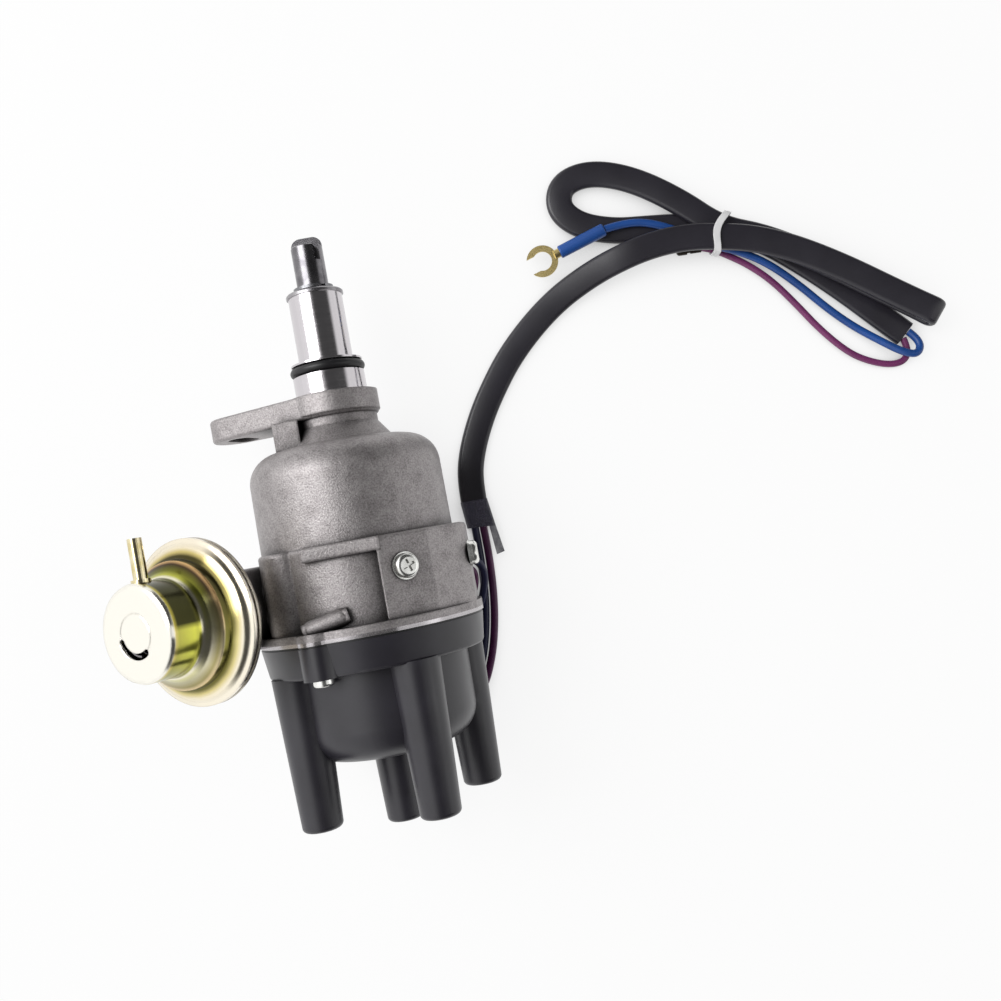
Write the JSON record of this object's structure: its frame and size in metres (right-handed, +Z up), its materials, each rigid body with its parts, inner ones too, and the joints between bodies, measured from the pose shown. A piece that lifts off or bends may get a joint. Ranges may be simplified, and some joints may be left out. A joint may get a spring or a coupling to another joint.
{
  "type": "ignition distributor",
  "caption": "Breakerless ignition distributor with screw-down cap, vacuum advance canister, slotted mounting arm, sealed spigot and a tied wiring harness",
  "frame": {"origin": "on the shaft axis at the mounting seat, where the pilot meets the collar", "axes": "+Y along the shaft to the drive end, +Z up from the surface that the part lies on, +X to the side of the wiring harness"},
  "size_m": [0.3325, 0.2466, 0.1121],
  "materials": {
    "cast_body": "as cast, fine grain, machined spigot",
    "ring_rubber": "satin black",
    "bush_bronze": "sintered bronze",
    "washer_steel": "stamped steel",
    "shaft_steel": "ground steel",
    "spring_steel": "spring wire",
    "weight_steel": "stamped steel",
    "coil_copper": "enamelled winding",
    "magnet_ferrite": "bonded ferrite",
    "rotor_plastic": "moulded phenolic",
    "contact_brass": "stamped brass",
    "cap_plastic": "moulded, satin black",
    "gasket": "thin black seal",
    "screw_zinc": "bright zinc",
    "terminal_metal": "cast-in studs",
    "carbon": "pressed carbon",
    "canister_zinc": "yellow passivated zinc",
    "diaphragm_rubber": "rubberised cloth",
    "grommet_rubber": "black",
    "tube_vinyl": "soft black vinyl, satin",
    "blue_vinyl": "extruded vinyl",
    "purple_vinyl": "extruded vinyl",
    "navy_vinyl": "extruded vinyl",
    "sleeve_vinyl": "translucent grey sleeve",
    "tie_nylon": "natural nylon"
  },
  "bodies": {
    "base": {"housing": "cast_body", "o_ring": "ring_rubber", "drive_end_bush": "bush_bronze", "inner_bush": "bush_bronze", "thrust_washer": "washer_steel", "governor_springs": "spring_steel", "pickup_base_plate": "weight_steel", "cap": "cap_plastic", "cap_gasket": "gasket", "cap_screws": "screw_zinc", "side_terminals": "terminal_metal", "centre_terminal": "terminal_metal", "brush_spring": "spring_steel", "canister_back_shell": "canister_zinc", "canister_front_shell": "canister_zinc", "canister_screws": "screw_zinc", "vacuum_nipple": "canister_zinc", "diaphragm": "diaphragm_rubber", "diaphragm_spring": "spring_steel", "base_screws": "screw_zinc", "base_screw_washers": "screw_zinc", "lead_grommet": "grommet_rubber", "harness_tube": "tube_vinyl", "blue_lead": "blue_vinyl", "purple_lead": "purple_vinyl", "pickup_lead_a": "purple_vinyl", "pickup_lead_b": "navy_vinyl", "lead_sleeve": "sleeve_vinyl", "terminal_sleeve": "blue_vinyl", "fork_terminal": "contact_brass", "bullet_terminal": "contact_brass", "cable_tie": "tie_nylon"},
    "drive": {"drive_shaft": "shaft_steel", "shaft_circlip": "spring_steel", "governor_plate": "weight_steel", "weight_pivot_pins": "weight_steel"},
    "weight_a": {"advance_weight_a": "weight_steel"},
    "weight_b": {"advance_weight_b": "weight_steel"},
    "rotor": {"rotor_sleeve": "weight_steel", "reluctor": "weight_steel", "rotor_arm": "rotor_plastic", "rotor_blade": "contact_brass"},
    "advance_plate": {"pickup_plate": "weight_steel", "pickup_coil": "coil_copper", "ring_magnet": "magnet_ferrite", "stator": "weight_steel"},
    "vacuum_rod": {"pull_rod": "washer_steel", "diaphragm_plates": "washer_steel"},
    "brush": {"carbon_brush": "carbon"}
  },
  "joints": [
    {"name": "drive_spin", "type": "hinge", "parent": "base", "child": "drive", "pos_m": [0, 0, 0], "axis": [0, 1, 0], "continuous": true},
    {"name": "centrifugal_advance", "type": "hinge", "parent": "drive", "child": "rotor", "pos_m": [0, 0, 0], "axis": [0, -1, 0], "range_deg": [0, 11], "stiffness_Nm_per_rad": 0.5, "springref_deg": -2.86, "deforming": ["governor_springs"]},
    {"name": "weight_a_swing", "type": "hinge", "parent": "drive", "child": "weight_a", "pos_m": [0.01738, -0.0505, -0.00633], "axis": [0, -1, 0], "range_deg": [0, 14]},
    {"name": "weight_b_swing", "type": "hinge", "parent": "drive", "child": "weight_b", "pos_m": [-0.01738, -0.0505, 0.00633], "axis": [0, -1, 0], "range_deg": [0, 14]},
    {"name": "vacuum_advance", "type": "hinge", "parent": "base", "child": "advance_plate", "pos_m": [0, 0, 0], "axis": [0, 1, 0], "range_deg": [0, 10], "stiffness_Nm_per_rad": 0.5, "springref_deg": -2.86},
    {"name": "pull_rod_slide", "type": "slide", "parent": "base", "child": "vacuum_rod", "axis": [-0.515, 0, 0.8572], "range_m": [0, 0.0046], "deforming": ["diaphragm", "diaphragm_spring"]},
    {"name": "brush_slide", "type": "slide", "parent": "base", "child": "brush", "axis": [0, -1, 0], "range_m": [0, 0.0015], "stiffness_N_per_m": 150, "springref_m": -0.004, "deforming": ["brush_spring"]}
  ],
  "couplings": [
    {"joint": "weight_a_swing", "follows": "centrifugal_advance", "ratio": 1.2727},
    {"joint": "weight_b_swing", "follows": "centrifugal_advance", "ratio": 1.2727},
    {"joint": "pull_rod_slide", "follows": "vacuum_advance", "m_per_rad": 0.026}
  ]
}
